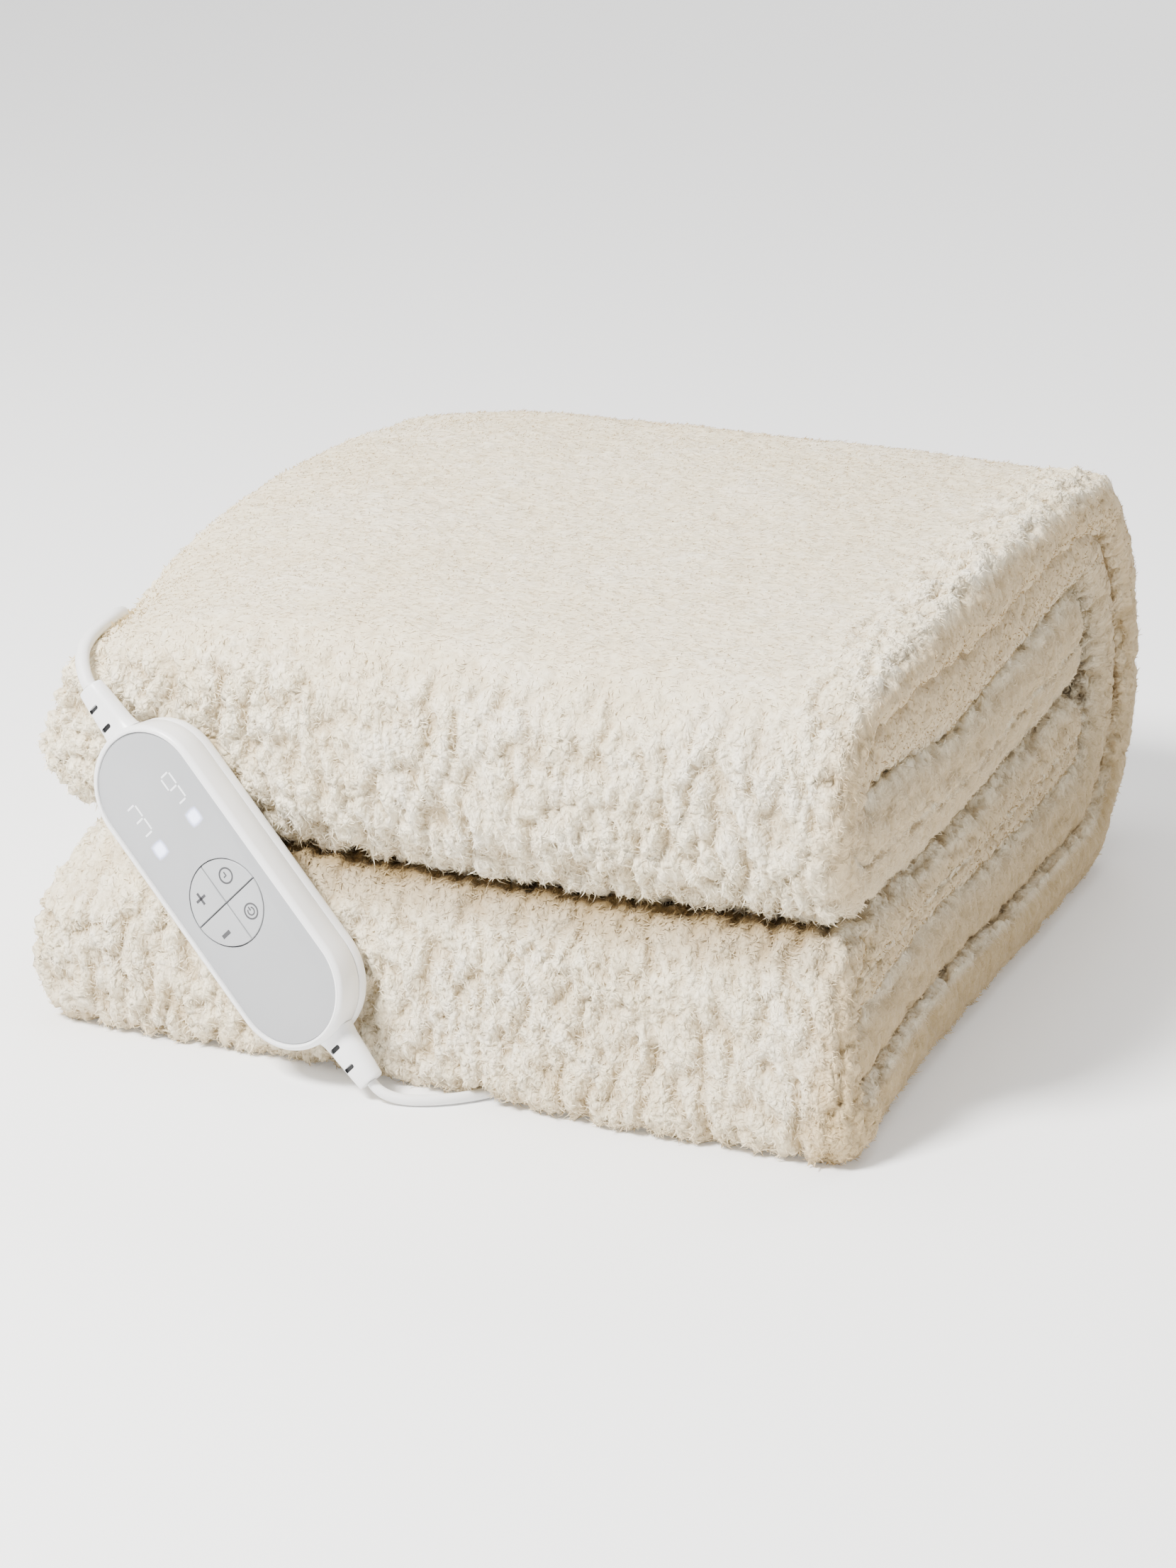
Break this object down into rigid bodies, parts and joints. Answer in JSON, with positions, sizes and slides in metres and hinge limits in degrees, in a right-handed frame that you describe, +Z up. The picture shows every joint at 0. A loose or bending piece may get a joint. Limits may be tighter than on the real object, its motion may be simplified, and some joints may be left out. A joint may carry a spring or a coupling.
{
  "type": "electric heated blanket",
  "caption": "Thick fleece heated blanket folded into a stack, with a keyed hand controller leaning on its front, a lead into the cloth and a coiled mains cord with a plug.",
  "frame": {"origin": "on the surface that the folded blanket rests on, under the middle of the stack", "axes": "+Z up, the long folded front edge along X with the controller towards -X, the back towards +Y"},
  "size_m": [0.4309, 0.5614, 0.2115],
  "materials": {
    "fleece": "cream curly sherpa pile",
    "white_plastic": "satin moulded white",
    "light_grey_plastic": "smooth light grey face",
    "cord_white": "white soft sheath",
    "plated_metal": "bright plated"
  },
  "bodies": {
    "root": {"blanket": "fleece", "controller_front": "white_plastic", "controller_back": "white_plastic", "controller_plate": "light_grey_plastic", "boot_upper": "white_plastic", "boot_lower": "white_plastic", "blanket_lead": "cord_white", "lead_sleeve": "white_plastic", "mains_cord": "cord_white", "mains_coil": "cord_white", "mains_tail": "cord_white", "plug_boot": "white_plastic", "plug_body": "white_plastic", "plug_pin_left": "plated_metal", "plug_pin_right": "plated_metal"},
    "timer_key": {"key_timer": "light_grey_plastic"},
    "power_key": {"key_power": "light_grey_plastic"},
    "plus_key": {"key_plus": "light_grey_plastic"},
    "minus_key": {"key_minus": "light_grey_plastic"}
  },
  "joints": [
    {"name": "timer_press", "type": "slide", "parent": "root", "child": "timer_key", "axis": [0.15, 0.9849, -0.087], "range_m": [0, 0.0006], "stiffness_N_per_m": 1500},
    {"name": "power_press", "type": "slide", "parent": "root", "child": "power_key", "axis": [0.15, 0.9849, -0.087], "range_m": [0, 0.0006], "stiffness_N_per_m": 1500},
    {"name": "plus_press", "type": "slide", "parent": "root", "child": "plus_key", "axis": [0.15, 0.9849, -0.087], "range_m": [0, 0.0006], "stiffness_N_per_m": 1500},
    {"name": "minus_press", "type": "slide", "parent": "root", "child": "minus_key", "axis": [0.15, 0.9849, -0.087], "range_m": [0, 0.0006], "stiffness_N_per_m": 1500}
  ]
}
